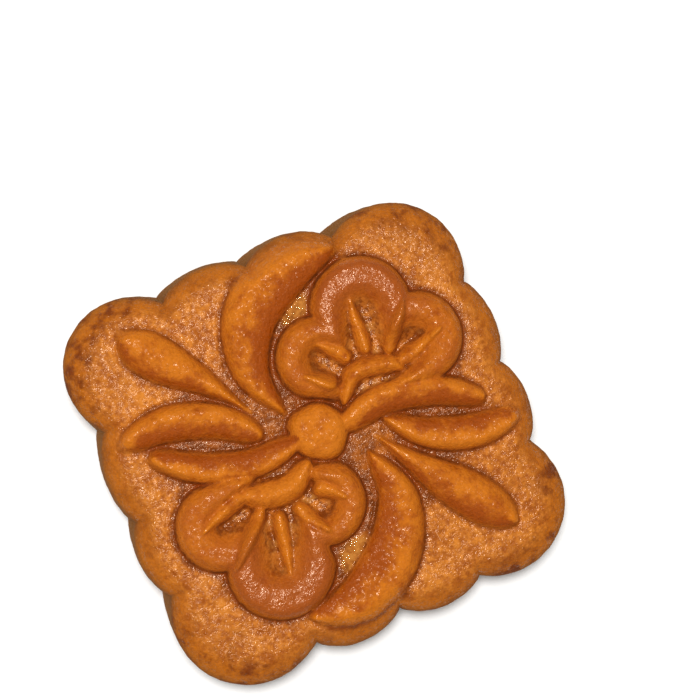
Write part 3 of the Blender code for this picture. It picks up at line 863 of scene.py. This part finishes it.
class MooncakeFinish(bpy.types.PropertyGroup):
    """Colours and gloss of the crust."""
    ground_light: colour("Ground, Light", "Light grain of the ground", (0.56, 0.203, 0.029))
    ground_dark: colour("Ground, Dark", "Dark grain of the ground", (0.30, 0.082, 0.009))
    raised_light: colour("Raised, Light", "Leaves and crescents at their lightest",
                         (0.49, 0.152, 0.010))
    raised_dark: colour("Raised, Dark", "Leaves and crescents at their brownest",
                        (0.29, 0.064, 0.004))
    petal: colour("Petals", "Browned rims of the petals", (0.345, 0.088, 0.009))
    # Lighter than the forms: painted light that lifts steep sides out of their shade.
    side: colour("Sides", "Steep sides of the raised forms", (0.54, 0.158, 0.011))
    tip: colour("Petal Tips", "Tips of the outer petals, browned most", (0.30, 0.075, 0.014))
    # Painted shade deep in the bowls, also used for the dark grit of the valleys.
    bowl: colour("Bowls", "Sunken middles of the blossoms", (0.075, 0.017, 0.003))
    # Painted shade on narrow ground between forms.
    valley: colour("Valleys", "Narrow ground between raised forms", (0.225, 0.057, 0.007))
    # Painted shade in the creases.
    crease: colour("Creases", "Creases where forms meet the ground", (0.21, 0.044, 0.005))
    pool: colour("Pools", "Thin ground where egg wash gathered", (0.46, 0.20, 0.045))
    shoulder: colour("Shoulder", "Golden rounding from the face into the wall",
                     (0.43, 0.132, 0.009))
    # The wall's own olive-brown, made darker as painted shade where the shoulder turns from the light.
    wall: colour("Wall", "The paler wall", (0.27, 0.100, 0.005))
    base: colour("Base", "Browned foot of the wall and base", (0.22, 0.065, 0.010))
    toast: colour("Toast", "Brown spots on the shoulders", (0.155, 0.032, 0.004))
    roughness: number("Roughness", "Roughness of the dull crust", 0.9, min=0.0, max=1.0)
    shine: number("Shine", "Strength of the crust's shine", 0.42, min=0.0, max=1.0)
    shine_colour: colour("Shine Colour", "Colour of the shine, warmed by the egg wash",
                         (1.0, 0.78, 0.62))
    glaze_roughness: number("Glaze Roughness", "Roughness of the shiny specks of egg glaze", 0.21,
                            min=0.0, max=1.0)
    grain_depth: length("Grain Depth", "Depth of the fine grain", 0.00023)


class MooncakeStage(bpy.types.PropertyGroup):
    """Floor and lights."""
    floor_size: length("Floor Size", "Side of the floor", 3.0)
    floor_colour: colour("Floor", "Colour of the floor", (0.82, 0.82, 0.81))
    key_power: number("Key Light", "Power of the key light in watts", 3.5, min=0.0)
    key_size: length("Key Size", "Side of the key light", 0.07)
    key_distance: length("Key Distance", "How far the key light is from the cake", 0.60)
    key_tilt: bpy.props.FloatProperty(
        name="Key Tilt", description="How far the key light is above the line of sight",
        default=math.radians(5.0), subtype="ANGLE")
    fill: number("Fill", "Strength of the even light from all round", 0.24, min=0.0)


SETTINGS = {
    "mooncake_block": MooncakeBlock,
    "mooncake_relief": MooncakeRelief,
    "mooncake_finish": MooncakeFinish,
    "mooncake_stage": MooncakeStage,
}


# --- operators ------------------------------------------------------------------------------------
class MOONCAKE_OT_crust(bpy.types.Operator):
    """Build the cake's crust: the scalloped block with the pressed pattern"""
    bl_idname = "mooncake.crust"
    bl_label = "Build Crust"

    def execute(self, context):
        scene = context.scene
        if CAKE_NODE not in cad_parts:
            raise RuntimeError("the packed model has no node named " + CAKE_NODE)
        blank = build_blank(scene.mooncake_block)
        plan, forms = build_plan(scene.mooncake_relief)
        material = crust_material(scene.mooncake_finish)
        mesh = pressed_mesh(blank, plan, forms, scene.mooncake_relief, material)
        mesh.name = "cake_crust"
        for helper in (blank, plan):
            data = helper.data
            bpy.data.objects.remove(helper)
            bpy.data.meshes.remove(data)
        crust = link_object("cake_crust", mesh)
        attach(crust, CAKE_BODY)
        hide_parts(CAKE_NODE)
        return {"FINISHED"}


class MOONCAKE_OT_stage(bpy.types.Operator):
    """Build the floor, the lights and the camera"""
    bl_idname = "mooncake.stage"
    bl_label = "Build Stage"

    def execute(self, context):
        stage = context.scene.mooncake_stage
        build_floor(stage)
        back, up = camera_axes()
        build_camera(back, up)
        build_lights(stage, back, up)
        context.scene.view_settings.view_transform = "Standard"
        context.scene.view_settings.look = "Medium High Contrast"
        return {"FINISHED"}


def camera_axes():
    """Unit vectors from the cake to the camera and up in its view."""
    level = math.cos(CAMERA_ELEVATION)
    back = Vector((level * math.cos(CAMERA_AZIMUTH), level * math.sin(CAMERA_AZIMUTH),
                   math.sin(CAMERA_ELEVATION)))
    upright = (Vector((0.0, 0.0, 1.0)) - back * back.z).normalized()
    right = (-back).cross(upright)
    return back, upright * math.cos(CAMERA_ROLL) + right * math.sin(CAMERA_ROLL)


def aimed(position, back, up):
    """Matrix of an object at position whose view runs against back, with up above."""
    right = up.cross(back).normalized()
    turn = Matrix((right, up, back)).transposed()
    return Matrix.Translation(position) @ turn.to_4x4()


def build_camera(back, up):
    data = bpy.data.cameras.new("camera")
    data.lens = CAMERA_LENS
    data.sensor_width = 36.0
    data.clip_start = 0.01
    data.clip_end = 50.0
    camera = link_object("camera", data)
    camera.matrix_world = aimed(AIM + back * CAMERA_DISTANCE, back, up)
    bpy.context.scene.camera = camera


def build_floor(stage):
    half = stage.floor_size / 2.0
    mesh = bpy.data.meshes.new("floor")
    corners = [(-half, -half), (half, -half), (half, half), (-half, half)]
    mesh.from_pydata([(x, y, -0.0001) for x, y in corners], [], [(0, 1, 2, 3)])
    mesh.materials.append(floor_material(stage))
    link_object("floor", mesh)


def build_lights(stage, back, up):
    data = bpy.data.lights.new("key", "AREA")
    data.shape = "DISK"
    data.size = stage.key_size
    data.energy = stage.key_power
    key = link_object("key", data)
    toward = back * math.cos(stage.key_tilt) + up * math.sin(stage.key_tilt)
    side = (up - toward * up.dot(toward)).normalized()
    key.matrix_world = aimed(Vector((0.0, 0.0, 0.02)) + toward * stage.key_distance, toward, side)
    world = bpy.data.worlds.new("studio")
    world.use_nodes = True
    sky = world.node_tree.nodes["Background"]
    sky.inputs["Color"].default_value = (1.0, 1.0, 1.0, 1.0)
    sky.inputs["Strength"].default_value = stage.fill
    bpy.context.scene.world = world


class MOONCAKE_PT_panel(bpy.types.Panel):
    """The cake's settings and operators"""
    bl_label = "Mooncake"
    bl_space_type = "VIEW_3D"
    bl_region_type = "UI"
    bl_category = "Mooncake"

    def draw(self, context):
        for key, kind in SETTINGS.items():
            box = self.layout.box()
            box.label(text=kind.__doc__)
            for name in kind.__annotations__:
                box.prop(getattr(context.scene, key), name)
        self.layout.operator(MOONCAKE_OT_crust.bl_idname)
        self.layout.operator(MOONCAKE_OT_stage.bl_idname)


CLASSES = (*SETTINGS.values(), MOONCAKE_OT_crust, MOONCAKE_OT_stage, MOONCAKE_PT_panel)


def register():
    for kind in CLASSES:
        bpy.utils.register_class(kind)
    for key, kind in SETTINGS.items():
        setattr(bpy.types.Scene, key, bpy.props.PointerProperty(type=kind))


def unregister():
    for key in SETTINGS:
        delattr(bpy.types.Scene, key)
    for kind in reversed(CLASSES):
        bpy.utils.unregister_class(kind)


def main():
    register()
    bpy.ops.mooncake.crust()
    bpy.ops.mooncake.stage()


if __name__ == "__main__":
    main()
